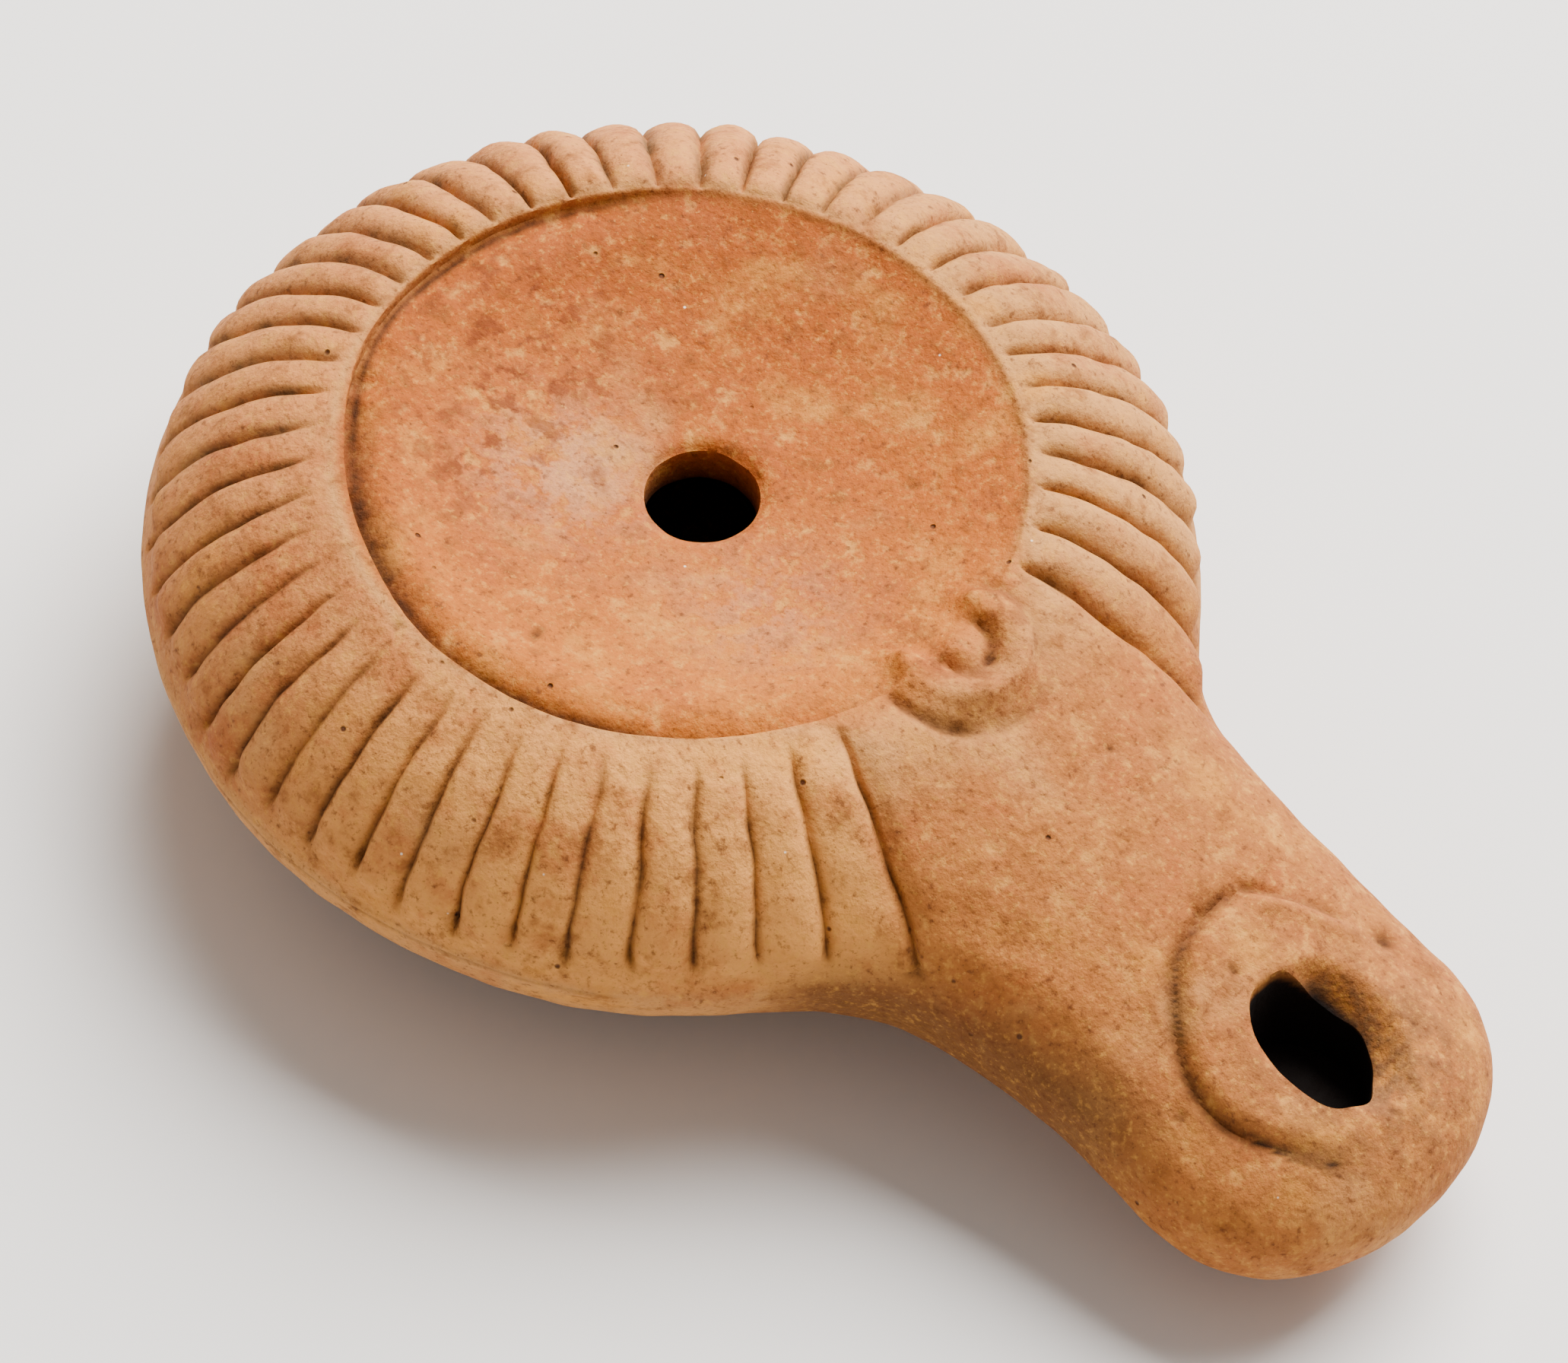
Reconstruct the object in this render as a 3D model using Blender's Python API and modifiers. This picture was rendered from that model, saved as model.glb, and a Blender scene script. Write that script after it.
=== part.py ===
"""A mould-made terracotta oil lamp: a round hollow body with a ribbed shoulder, a dished discus with
its filling hole, a loop ornament, and a sloping nozzle that ends in a round head with the wick hole.

Metres, +Z up. The origin is the centre of the flat base, and the nozzle points along -Y.
Plan angles are measured at the centre, from the nozzle, rising towards +X.
"""

import math

import bmesh
import bpy
from mathutils import Vector

# Body
body_radius = 0.0375
seam_height = 0.0161
shoulder_rise = 0.0121
shoulder_fullness = 1.56
bowl_fullness = 1.63
base_radius = 0.0178
foot_height = 0.0006
body_sides = 60

# Discus, the dished middle of the top
discus_radius = 0.0242
discus_sink = 0.0042
discus_wall = 0.0040
rim_groove_width = 0.0011
rim_groove_depth = 0.0008
filling_hole_radius = 0.0042
filling_hole_x = 0.0012
filling_hole_y = -0.0011

# Ribs round the shoulder, which leave the nozzle's sector plain
rib_count = 46
plain_sector = math.radians(45.5)
rib_height = 0.0009
rib_groove_width = 0.0004
rib_inner_share = 0.085
rib_outer_share = 0.86
rib_end_taper = 0.66
rib_slope_step = 0.02
rib_side_spread = 0.045
nozzle_rib_gain = 0.22
nozzle_rib_spread = 1.2

# Nozzle, with distances from the body's centre along -Y
nozzle_reach = 0.0709
nozzle_root_half_width = 0.0193
nozzle_waist_half_width = 0.0146
nozzle_head_half_width = 0.0147
nozzle_root_distance = 0.0280
nozzle_waist_distance = 0.0470
nozzle_underside_root = 0.0040
nozzle_underside_waist = 0.0056
nozzle_underside_head = 0.0033
nozzle_start_distance = 0.0190
nozzle_top_bend = 1.25
nozzle_underside_bend = 1.5
nozzle_squareness = 2.4
nozzle_sides = 20
head_round_length = 0.0120
head_plan_fullness = 2.2
head_side_fullness = 3.0

# Head of the nozzle, with its wick hole
wick_distance = 0.0590
wick_height = 0.0172
wick_slope = math.radians(9)
wick_rim_distance = 0.0585
wick_rim_flat_radius = 0.0088
wick_rim_radius = 0.0101
wick_rim_foot_radius = 0.0109
wick_rim_rise = 0.0008
wick_rim_depth = 0.0040
wick_hole_distance = 0.0590
wick_hole_radius = 0.0040
wick_hole_length_share = 1.2
wick_mouth_radius = 0.0057
wick_funnel_depth = 0.0024

# Loop ornament between the discus and the nozzle
loop_x = 0.0014
loop_distance = 0.0246
loop_radius = 0.0042
loop_ridge_radius = 0.0013
loop_rise = 0.0006
loop_opening = math.radians(90)
loop_end_sink = 0.0003
loop_boss_radius = 0.0016

# Clay walls
wall = 0.0034
head_wall = 0.0036
tip_wall = 0.0055
cavity_floor_radius = 0.0164
channel_start_distance = 0.0178
channel_sides = 16
cut_overrun = 0.0040

lamp_colour = (0.49, 0.24, 0.12, 1.0)


def clear_scene():
    for leftover in list(bpy.data.objects):
        bpy.data.objects.remove(leftover, do_unlink=True)


def make_collection(name, hidden):
    collection = bpy.data.collections.new(name)
    collection.hide_render = hidden
    bpy.context.scene.collection.children.link(collection)
    return collection


def add_object(name, mesh, collection):
    item = bpy.data.objects.new(name, mesh)
    collection.objects.link(item)
    if collection.hide_render:
        item.hide_render = True
        item.display_type = "WIRE"
    return item


def make_clay():
    clay = bpy.data.materials.new("fired_terracotta")
    clay.use_nodes = True
    shader = clay.node_tree.nodes["Principled BSDF"]
    shader.inputs["Base Color"].default_value = lamp_colour
    shader.inputs["Roughness"].default_value = 0.85
    shader.inputs["Metallic"].default_value = 0.0
    return clay


def shoulder_point(share):
    """Radius and height on the shoulder: 0 at the discus edge, 1 at the mould seam."""
    turn = share * math.pi / 2
    bend = 2 / shoulder_fullness
    radius = discus_radius + (body_radius - discus_radius) * math.sin(turn) ** bend
    height = seam_height + shoulder_rise * max(math.cos(turn), 0) ** bend
    return radius, height


def bowl_point(share):
    """Radius and height on the underside: 0 at the mould seam, 1 at the top of the low foot."""
    turn = share * math.pi / 2
    bend = 2 / bowl_fullness
    radius = base_radius + (body_radius - base_radius) * max(math.cos(turn), 0) ** bend
    height = foot_height + (seam_height - foot_height) * (1 - math.sin(turn) ** bend)
    return radius, height


def discus_height(radius):
    """Height of the dished discus at a radius inside its edge."""
    return seam_height + shoulder_rise - discus_sink * (1 - (radius / discus_radius) ** 2)


def turned(name, profile, sides, collection):
    """A solid turned round the Z axis from a profile that starts and ends on the axis."""
    mesh = bpy.data.meshes.new(name)
    points = [(radius, 0, height) for radius, height in profile]
    mesh.from_pydata(points, [(i, i + 1) for i in range(len(points) - 1)], [])
    item = add_object(name, mesh, collection)
    screw = item.modifiers.new("turn", "SCREW")
    screw.angle = 2 * math.pi
    screw.steps = sides
    screw.render_steps = sides
    screw.use_merge_vertices = True
    screw.merge_threshold = 0.00001
    return item


def body_profile():
    """From the middle of the discus, over the rim and shoulder, and down to the middle of the base."""
    lip = discus_radius - rim_groove_width
    profile = [(lip * i / 5, discus_height(lip * i / 5)) for i in range(6)]
    groove_middle = discus_radius - rim_groove_width / 2
    profile.append((groove_middle, discus_height(groove_middle) - rim_groove_depth))
    profile += [shoulder_point(i / 8) for i in range(9)]
    profile += [bowl_point(i / 5) for i in range(1, 6)]
    return profile + [(base_radius, 0), (0, 0)]


def cavity_profile():
    """The hollow of the body, one wall inside it, under the discus and over the floor."""
    inner_radius = body_radius - wall
    profile = []
    for i in range(3):
        radius = discus_radius * i / 3
        profile.append((radius, discus_height(radius) - discus_wall))
    rise = shoulder_rise - discus_wall
    for i in range(5):
        turn = i / 4 * math.pi / 2
        radius = discus_radius + (inner_radius - discus_radius) * math.sin(turn)
        profile.append((radius, seam_height + rise * max(math.cos(turn), 0)))
    bend = 2 / bowl_fullness
    for i in range(1, 5):
        turn = i / 4 * math.pi / 2
        reach = (inner_radius - cavity_floor_radius) * max(math.cos(turn), 0) ** bend
        fall = (seam_height - wall) * math.sin(turn) ** bend
        profile.append((cavity_floor_radius + reach, seam_height - fall))
    return profile + [(0, wall)]


def smooth_step(share):
    share = min(max(share, 0), 1)
    return share * share * (3 - 2 * share)


def nozzle_half_width(distance):
    """Half the nozzle's width: a flared root, a waist and a round head."""
    if distance < nozzle_waist_distance:
        share = (nozzle_waist_distance - distance) / (nozzle_waist_distance - nozzle_root_distance)
        return nozzle_waist_half_width + (nozzle_root_half_width - nozzle_waist_half_width) * share**2
    head_middle = nozzle_reach - head_round_length
    if distance < head_middle:
        share = smooth_step((distance - nozzle_waist_distance) / (head_middle - nozzle_waist_distance))
        return nozzle_waist_half_width + (nozzle_head_half_width - nozzle_waist_half_width) * share
    along = (distance - head_middle) / head_round_length
    return nozzle_head_half_width * math.sqrt(max(1 - along**head_plan_fullness, 0))


def nozzle_top(distance):
    """Height of the nozzle's upper side, which falls from the shoulder to the wick hole."""
    fall = math.tan(wick_slope)
    straight = wick_height + (wick_distance - distance) * fall
    length = wick_distance - discus_radius
    lift = seam_height + shoulder_rise - wick_height - length * fall
    top = straight + lift * max((wick_distance - distance) / length, 0) ** nozzle_top_bend
    return min(top, discus_height(min(distance, discus_radius)) - rim_groove_depth)


def nozzle_underside(distance):
    """Height of the nozzle's underside, which rises to the waist and comes down to the head."""
    if distance < nozzle_waist_distance:
        share = (nozzle_waist_distance - distance) / (nozzle_waist_distance - nozzle_start_distance)
        fall = (nozzle_underside_waist - nozzle_underside_root) * share**nozzle_underside_bend
        return nozzle_underside_waist - fall
    share = smooth_step((distance - nozzle_waist_distance) / (wick_distance - nozzle_waist_distance))
    return nozzle_underside_waist + (nozzle_underside_head - nozzle_underside_waist) * share


def superellipse_ring(half_width, middle, half_height, distance, sides):
    """A ring of points round the nozzle's cross-section."""
    ring = []
    for i in range(sides):
        turn = 2 * math.pi * i / sides
        side, up = math.cos(turn), math.sin(turn)
        x = half_width * math.copysign(abs(side) ** (2 / nozzle_squareness), side)
        z = middle + half_height * math.copysign(abs(up) ** (2 / nozzle_squareness), up)
        ring.append(Vector((x, -distance, z)))
    return ring


def nozzle_ring(distance, inset, sides):
    """The nozzle's cross-section, or that of the channel in it, an inset inside the clay."""
    half_width = nozzle_half_width(distance) - inset
    top = nozzle_top(distance) - inset
    underside = nozzle_underside(distance) + inset
    return superellipse_ring(half_width, (top + underside) / 2, (top - underside) / 2, distance, sides)


def lofted(name, rings, collection):
    """A closed solid that runs through rings of equal count, with a flat cap at each end."""
    form = bmesh.new()
    loops = [[form.verts.new(point) for point in ring] for ring in rings]
    count = len(loops[0])
    for first, second in zip(loops, loops[1:]):
        for i in range(count):
            j = (i + 1) % count
            form.faces.new((first[i], first[j], second[j], second[i]))
    form.faces.new(loops[0])
    form.faces.new(loops[-1])
    bmesh.ops.recalc_face_normals(form, faces=form.faces)
    mesh = bpy.data.meshes.new(name)
    form.to_mesh(mesh)
    form.free()
    return add_object(name, mesh, collection)


def nozzle_rings():
    """Cross-sections from inside the body to the tip, whose height closes with its width."""
    straight_end = nozzle_reach - head_round_length
    rings = []
    for i in range(9):
        distance = nozzle_start_distance + (straight_end - nozzle_start_distance) * i / 8
        rings.append(nozzle_ring(distance, 0, nozzle_sides))
    for i in range(1, 6):
        along = math.sin(i / 5 * math.radians(84))
        distance = straight_end + head_round_length * along
        top, underside = nozzle_top(distance), nozzle_underside(distance)
        half_height = (top - underside) / 2 * math.sqrt(1 - along**head_side_fullness)
        half_width = nozzle_half_width(distance)
        middle = (top + underside) / 2
        rings.append(superellipse_ring(half_width, middle, half_height, distance, nozzle_sides))
    return rings


def channel_rings():
    """Cross-sections of the hollow that runs from the body's cavity to under the wick hole."""
    length = nozzle_reach - tip_wall - channel_start_distance
    rings = []
    for i in range(9):
        distance = channel_start_distance + length * math.sin(i / 8 * math.pi / 2)
        rings.append(nozzle_ring(distance, head_wall, channel_sides))
    return rings


def rib_edges():
    """Plan angles of the grooves: ribs widen beside the nozzle and are a little wider on the +X side."""
    widths = []
    for k in range(rib_count):
        share = (k + 0.5) / rib_count
        near_nozzle = math.exp(-(min(k, rib_count - 1 - k) / nozzle_rib_spread) ** 2)
        side = rib_side_spread * math.sin(2 * math.pi * share)
        widths.append(1 + side + nozzle_rib_gain * near_nozzle)
    scale = (2 * math.pi - plain_sector) / sum(widths)
    edges = [plain_sector / 2]
    for width in widths:
        edges.append(edges[-1] + width * scale)
    return edges


def curve_mesh(name, path, collection):
    """A round bar along a path of (point, radius), made a mesh with its caps welded."""
    curve = bpy.data.curves.new(name, "CURVE")
    curve.dimensions = "3D"
    curve.bevel_depth = 1.0
    curve.bevel_resolution = 3
    curve.use_fill_caps = True
    spline = curve.splines.new("POLY")
    spline.points.add(len(path) - 1)
    for place, (point, radius) in zip(spline.points, path):
        place.co = (*point, 1)
        place.radius = radius
    guide = add_object(name + "_guide", curve, collection)
    bpy.context.view_layer.update()
    evaluated = guide.evaluated_get(bpy.context.evaluated_depsgraph_get())
    mesh = bpy.data.meshes.new_from_object(evaluated)
    form = bmesh.new()
    form.from_mesh(mesh)
    bmesh.ops.remove_doubles(form, verts=form.verts, dist=0.00001)
    bmesh.ops.recalc_face_normals(form, faces=form.faces)
    form.to_mesh(mesh)
    form.free()
    item = add_object(name, mesh, collection)
    item.matrix_world = guide.matrix_world
    bpy.data.objects.remove(guide, do_unlink=True)
    return item


def rib_path(middle, half_angle):
    """Centre line and radius of one rib, which follows the shoulder and narrows at both ends."""
    outward = Vector((math.sin(middle), -math.cos(middle), 0))
    path = []
    for i in range(7):
        share = rib_inner_share + (rib_outer_share - rib_inner_share) * i / 6
        radius, height = shoulder_point(share)
        ahead_radius, ahead_height = shoulder_point(share + rib_slope_step)
        slope = Vector((ahead_radius - radius, ahead_height - height)).normalized()
        width = 2 * radius * math.tan(half_angle) - rib_groove_width
        bar = (width**2 / 4 + rib_height**2) / (2 * rib_height)
        taper = rib_end_taper if i in (0, 6) else 1
        depth = bar - rib_height
        centre = outward * (radius + slope.y * depth) + Vector((0, 0, height - slope.x * depth))
        path.append((centre, bar * taper))
    return path


def make_ribs(collection):
    edges = rib_edges()
    ribs = []
    for k, (start, end) in enumerate(zip(edges, edges[1:])):
        ribs.append(curve_mesh(f"rib_{k}", rib_path((start + end) / 2, (end - start) / 2), collection))
    return joined("ribs", ribs, collection)


def joined(name, items, collection):
    """One mesh of several closed bars that don't touch."""
    form = bmesh.new()
    for item in items:
        form.from_mesh(item.data)
    mesh = bpy.data.meshes.new(name)
    form.to_mesh(mesh)
    form.free()
    for item in items:
        bpy.data.objects.remove(item, do_unlink=True)
    return add_object(name, mesh, collection)


def shoulder_height(radius):
    """Height of the shoulder at a radius between the discus edge and the seam."""
    share = (radius - discus_radius) / (body_radius - discus_radius)
    return seam_height + shoulder_rise * (1 - share**shoulder_fullness) ** (1 / shoulder_fullness)


def top_height(x, y):
    """Height of the lamp's top at a place near the loop ornament."""
    radius = math.hypot(x, y)
    if radius < discus_radius:
        return discus_height(radius)
    return max(shoulder_height(radius), nozzle_top(-y))


def make_loop(collection):
    """The horseshoe ridge of the ornament, open towards the discus."""
    path = []
    half_turn = math.pi - loop_opening / 2
    for i in range(13):
        turn = -half_turn + 2 * half_turn * i / 12
        x = loop_x + loop_radius * math.sin(turn)
        y = -loop_distance - loop_radius * math.cos(turn)
        sink = loop_end_sink if i in (0, 12) else 0
        z = top_height(x, y) + loop_rise - loop_ridge_radius - sink
        path.append((Vector((x, y, z)), loop_ridge_radius))
    return curve_mesh("loop_ridge", path, collection)


def named_primitive(name, collection):
    """The primitive that was just added, named and moved to its collection."""
    item = bpy.context.object
    item.name = name
    for owner in list(item.users_collection):
        owner.objects.unlink(item)
    collection.objects.link(item)
    item.hide_render = True
    item.display_type = "WIRE"
    return item


def make_boss(collection):
    """The small boss in the middle of the loop."""
    bpy.ops.mesh.primitive_uv_sphere_add(segments=12, ring_count=6, radius=loop_boss_radius)
    boss = named_primitive("loop_boss", collection)
    crown = top_height(loop_x, -loop_distance) + loop_rise
    boss.location = (loop_x, -loop_distance, crown - loop_boss_radius)
    return boss


def make_wick_rim(collection):
    """A low round rim on the head, lying in the slope of the nozzle's upper side."""
    profile = [
        (0, wick_rim_rise),
        (wick_rim_flat_radius, wick_rim_rise),
        (wick_rim_radius, 0),
        (wick_rim_foot_radius, -wick_rim_depth),
        (0, -wick_rim_depth),
    ]
    rim = turned("wick_rim", profile, 28, collection)
    rim.location = (0, -wick_rim_distance, nozzle_top(wick_rim_distance))
    rim.rotation_euler = (wick_slope, 0, 0)
    return rim


def make_wick_hole(collection):
    """The oval wick hole, longer than wide, whose mouth widens to the rim like a funnel."""
    reach = head_wall + cut_overrun
    profile = [
        (0, reach),
        (wick_mouth_radius, reach),
        (wick_mouth_radius, 0),
        (wick_hole_radius, -wick_funnel_depth),
        (wick_hole_radius, -reach),
        (0, -reach),
    ]
    hole = turned("wick_hole", profile, 24, collection)
    hole.location = (0, -wick_hole_distance, nozzle_top(wick_hole_distance))
    hole.rotation_euler = (wick_slope, 0, 0)
    hole.scale = (1, wick_hole_length_share, 1)
    return hole


def make_filling_hole(collection):
    """The round hole through the discus, a little off its middle."""
    depth = discus_sink + discus_wall + 2 * cut_overrun
    bpy.ops.mesh.primitive_cylinder_add(vertices=24, radius=filling_hole_radius, depth=depth)
    hole = named_primitive("filling_hole", collection)
    middle = seam_height + shoulder_rise - discus_sink - discus_wall / 2
    hole.location = (filling_hole_x, filling_hole_y, middle)
    return hole


def combine(item, tool, operation):
    step = item.modifiers.new(f"{operation.lower()}_{tool.name}", "BOOLEAN")
    step.operation = operation
    step.solver = "EXACT"
    step.object = tool


def main():
    clear_scene()
    parts = make_collection("terracotta_oil_lamp", hidden=False)
    helpers = make_collection("lamp_shapes_and_cutters", hidden=True)

    lamp = turned("oil_lamp", body_profile(), body_sides, parts)
    added = [
        lofted("nozzle", nozzle_rings(), helpers),
        make_wick_rim(helpers),
        make_ribs(helpers),
        make_loop(helpers),
        make_boss(helpers),
    ]
    cut = [
        turned("cavity", cavity_profile(), 32, helpers),
        lofted("channel", channel_rings(), helpers),
        make_filling_hole(helpers),
        make_wick_hole(helpers),
    ]
    for shape in added:
        combine(lamp, shape, "UNION")
    for cutter in cut:
        combine(lamp, cutter, "DIFFERENCE")
    lamp.data.materials.append(make_clay())


main()
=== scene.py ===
import math

import bpy
import numpy as np
from mathutils import Matrix, Vector


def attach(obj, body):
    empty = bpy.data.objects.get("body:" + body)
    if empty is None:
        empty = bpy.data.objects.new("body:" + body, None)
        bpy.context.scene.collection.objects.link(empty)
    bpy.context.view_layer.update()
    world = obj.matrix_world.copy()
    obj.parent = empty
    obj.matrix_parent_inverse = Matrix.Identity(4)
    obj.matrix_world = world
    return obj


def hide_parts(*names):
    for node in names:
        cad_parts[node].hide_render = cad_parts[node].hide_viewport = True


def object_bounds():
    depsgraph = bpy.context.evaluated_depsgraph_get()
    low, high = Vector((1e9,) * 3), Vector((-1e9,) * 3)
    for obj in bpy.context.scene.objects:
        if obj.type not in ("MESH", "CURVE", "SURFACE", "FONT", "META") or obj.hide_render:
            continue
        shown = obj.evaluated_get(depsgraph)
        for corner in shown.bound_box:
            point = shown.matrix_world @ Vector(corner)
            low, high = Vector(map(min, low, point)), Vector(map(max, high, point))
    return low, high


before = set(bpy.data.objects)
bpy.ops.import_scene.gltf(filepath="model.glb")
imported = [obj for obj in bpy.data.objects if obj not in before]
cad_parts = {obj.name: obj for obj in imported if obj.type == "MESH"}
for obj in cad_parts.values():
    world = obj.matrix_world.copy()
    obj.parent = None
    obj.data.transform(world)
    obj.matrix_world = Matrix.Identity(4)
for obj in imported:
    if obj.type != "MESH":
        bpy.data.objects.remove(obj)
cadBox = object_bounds()
print("stage: frame loaded")

# Geometry below is worked out in millimetres and stored in metres.
# Plan angles are measured at the body's centre, from the nozzle (-Y), rising towards +X.
lamp = {
    # Body: one curve above the mould seam and another below it, on a low foot.
    "bodyRadius": 37.3, "seamHeight": 16.1, "shoulderRise": 12.1, "shoulderFullness": 1.56,
    "bowlFullness": 1.63, "baseRadius": 17.8, "footHeight": 0.6,
    # Discus, its filling hole a little off the middle, and the groove inside its edge.
    "discusRadius": 24.2, "discusSink": 4.2, "edgeRadius": 24.6,
    "holeRadius": 4.15, "holeX": 1.2, "holeY": -1.1,
    "grooveRadius": 23.8, "grooveInside": 1.5, "grooveOutside": 0.24, "grooveDepth": 1.8, "grooveSide": 240,
    # Ribs; their starts and ends are shares of the way down the shoulder.
    "ribCount": 46, "plainSector": 45.5, "sideSpread": 0.045, "nozzleRibGain": 0.22,
    "ribHeight": 0.84, "ribStart": 0.05, "ribEnd": 0.86, "ribCut": 0.42, "ribCutWidth": 0.23, "ribWaver": 0.2,
    "flatRibSide": 265, "farRibSide": 165,
    # Nozzle, from its root in the body to the head's round end.
    "reach": 70.7, "rootHalf": 19.3, "waistHalf": 14.6, "headHalf": 14.7,
    "rootAt": 28.0, "waistAt": 47.0, "startAt": 19.0, "headRound": 12.0,
    "underRoot": 4.0, "underWaist": 5.6, "underHead": 3.3,
    "topBend": 1.25, "underBend": 1.5, "nozzleSink": 0.8,
    "squareness": 2.4, "planFullness": 2.2, "sideFullness": 3.0,
    "filletTight": 0.8, "filletGain": 3.4,
    # Wick hole, the low rim round it, and the loop ornament.
    "wickAt": 59.0, "wickHeight": 17.2, "wickSlope": 9.0,
    "wickX": 0.2, "wickHoleAt": 59.0, "wickHalfWidth": 4.0, "wickHalfLength": 4.8,
    "rimX": 0.8, "rimAt": 58.0, "rimRadius": 9.7, "rimRise": 0.8,
    "loopX": 1.5, "loopY": -24.4, "loopRadius": 4.0,
    # Walls, and the band under the lamp's true height in which the highest ribs are worn down.
    "wall": 3.4, "headWall": 3.6, "tipWall": 5.5,
    "wearBand": 0.45, "wearSoftness": 0.4, "sharpEdge": 48,
    # Where the rays that find the clay start, and how far they turn into the nozzle's corners.
    "plateRadius": 29.0, "plateInset": 7.5, "cornerTurn": 25.0, "nozzleRings": 92,
    "seed": 7,
}

# Single marks on the clay, each at a plan place: pits with their radius and depth.
pits = [
    (-17.4, -2.4, 0.36, 0.30), (-24.6, 4.0, 0.34, 0.42), (-0.9, -52.4, 0.36, 0.34), (0.3, -47.7, 0.26, 0.3),
    (2.9, -65.6, 0.34, 0.24), (0.4, -66.2, 0.3, 0.24), (6.6, -62.6, 0.3, 0.2), (-5.6, -66.0, 0.3, 0.22),
    (11.2, -12.0, 0.3, 0.2), (4.2, -36.0, 0.26, 0.22), (-10.6, -56.4, 0.4, 0.26), (10.6, -56.8, 0.7, 0.5),
]


# 0 at the low value, 1 at the high one and an S-curve between; with low above high it falls.
def smooth(low, high, value):
    share = np.clip((value - low) / (high - low), 0, 1)
    return share * share * (3 - 2 * share)


# A bell curve: 1 at its middle, about 0.37 one width away.
def hill(value, middle, width):
    return np.exp(-(((value - middle) / width) ** 2))


# 1 within a spread of a plan angle in degrees, fading to 0 beyond it.
def facing(angle, middle, spread, fade):
    off = np.abs((np.degrees(angle) - middle + 180) % 360 - 180)
    return smooth(spread + fade, spread, off)


# 1 on a straight stroke between two plan places, fading over its width.
def stroke(points, start, end, width):
    along = np.array(end) - np.array(start)
    offset = points[..., :2] - np.array(start)
    share = np.clip(offset @ along / (along @ along), 0, 1)
    return hill(np.linalg.norm(offset - share[..., None] * along, axis=-1), 0, width)


# Soft random swelling between about -1 and 1: a sum of waves, each near the given length in millimetres.
def lumps(points, length, seed):
    waves, spread = 14, 5.3
    source = np.random.default_rng(seed)
    total = np.zeros(points.shape[:-1])
    for _ in range(waves):
        heading = source.normal(size=3)
        heading *= 2 * math.pi / (length * source.uniform(0.7, 1.5) * np.linalg.norm(heading))
        total += np.sin(points @ heading + source.uniform(0, 2 * math.pi))
    return total / spread


# Distance from the body's axis, and plan angle.
def polar(points):
    radius = np.hypot(points[..., 0], points[..., 1])
    return radius, np.arctan2(points[..., 0], -points[..., 1]) % (2 * math.pi)


# The discus is a shallow parabola that reaches the shoulder's top at its edge.
def discusHeight(radius):
    top = lamp["seamHeight"] + lamp["shoulderRise"]
    return top - lamp["discusSink"] * (1 - np.minimum(radius / lamp["discusRadius"], 1) ** 2)


# Distance-like field of the body: below zero inside, zero on the clay.
def bodyField(points):
    radius = np.hypot(points[..., 0], points[..., 1])
    dish = lamp["discusSink"] * np.maximum(1 - (radius / lamp["discusRadius"]) ** 2, 0)
    above = points[..., 2] - lamp["seamHeight"]
    upper = above > 0
    inner = np.where(upper, lamp["discusRadius"], lamp["baseRadius"])
    power = np.where(upper, lamp["shoulderFullness"], lamp["bowlFullness"])
    tall = np.where(upper, lamp["shoulderRise"], lamp["seamHeight"] - lamp["footHeight"])
    out = np.maximum(radius - inner, 0)
    up = np.where(upper, above + dish, -above)
    gauge = ((out / (lamp["bodyRadius"] - inner)) ** power + (up / tall) ** power) ** (1 / power)
    shell = np.hypot(out, up) * (1 - 1 / np.maximum(gauge, 1e-6))
    # The low foot is a flat drum that just comes out of the bowl.
    foot = np.maximum(radius - lamp["baseRadius"], np.abs(points[..., 2] - 2) - 2)
    softness = 0.5
    near = np.maximum(softness - np.abs(shell - foot), 0) / softness
    return np.minimum(shell, foot) - near**2 * softness / 4


# Half the nozzle's width: the waist, a flare that grows with the square of the way back to the
# root, and a soft swell towards the head.
def nozzleHalf(distance):
    toRoot = np.clip((lamp["waistAt"] - distance) / (lamp["waistAt"] - lamp["rootAt"]), 0, 1.6)
    flare = (lamp["rootHalf"] - lamp["waistHalf"]) * toRoot**2
    headStart = lamp["reach"] - lamp["headRound"]
    swell = (lamp["headHalf"] - lamp["waistHalf"]) * smooth(lamp["waistAt"], headStart, distance)
    return lamp["waistHalf"] + flare + swell


# The top line falls evenly through the wick hole, and a power curve lifts it towards the discus.
def nozzleTop(distance):
    fall = math.tan(math.radians(lamp["wickSlope"]))
    length = lamp["wickAt"] - lamp["discusRadius"]
    lift = lamp["seamHeight"] + lamp["shoulderRise"] - lamp["wickHeight"] - length * fall
    back = lamp["wickAt"] - distance
    top = lamp["wickHeight"] + back * fall + lift * np.maximum(back / length, 0) ** lamp["topBend"]
    return np.minimum(top, discusHeight(distance) - lamp["nozzleSink"])


# The lower line is highest at the waist, and drops by a power curve to the root and by an
# S-curve to the head.
def nozzleUnder(distance):
    back = np.clip((lamp["waistAt"] - distance) / (lamp["waistAt"] - lamp["startAt"]), 0, 1)
    toHead = smooth(lamp["waistAt"], lamp["wickAt"], distance)
    rootPart = (lamp["underRoot"] - lamp["underWaist"]) * back ** lamp["underBend"]
    return lamp["underWaist"] + rootPart + (lamp["underHead"] - lamp["underWaist"]) * toHead


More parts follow.
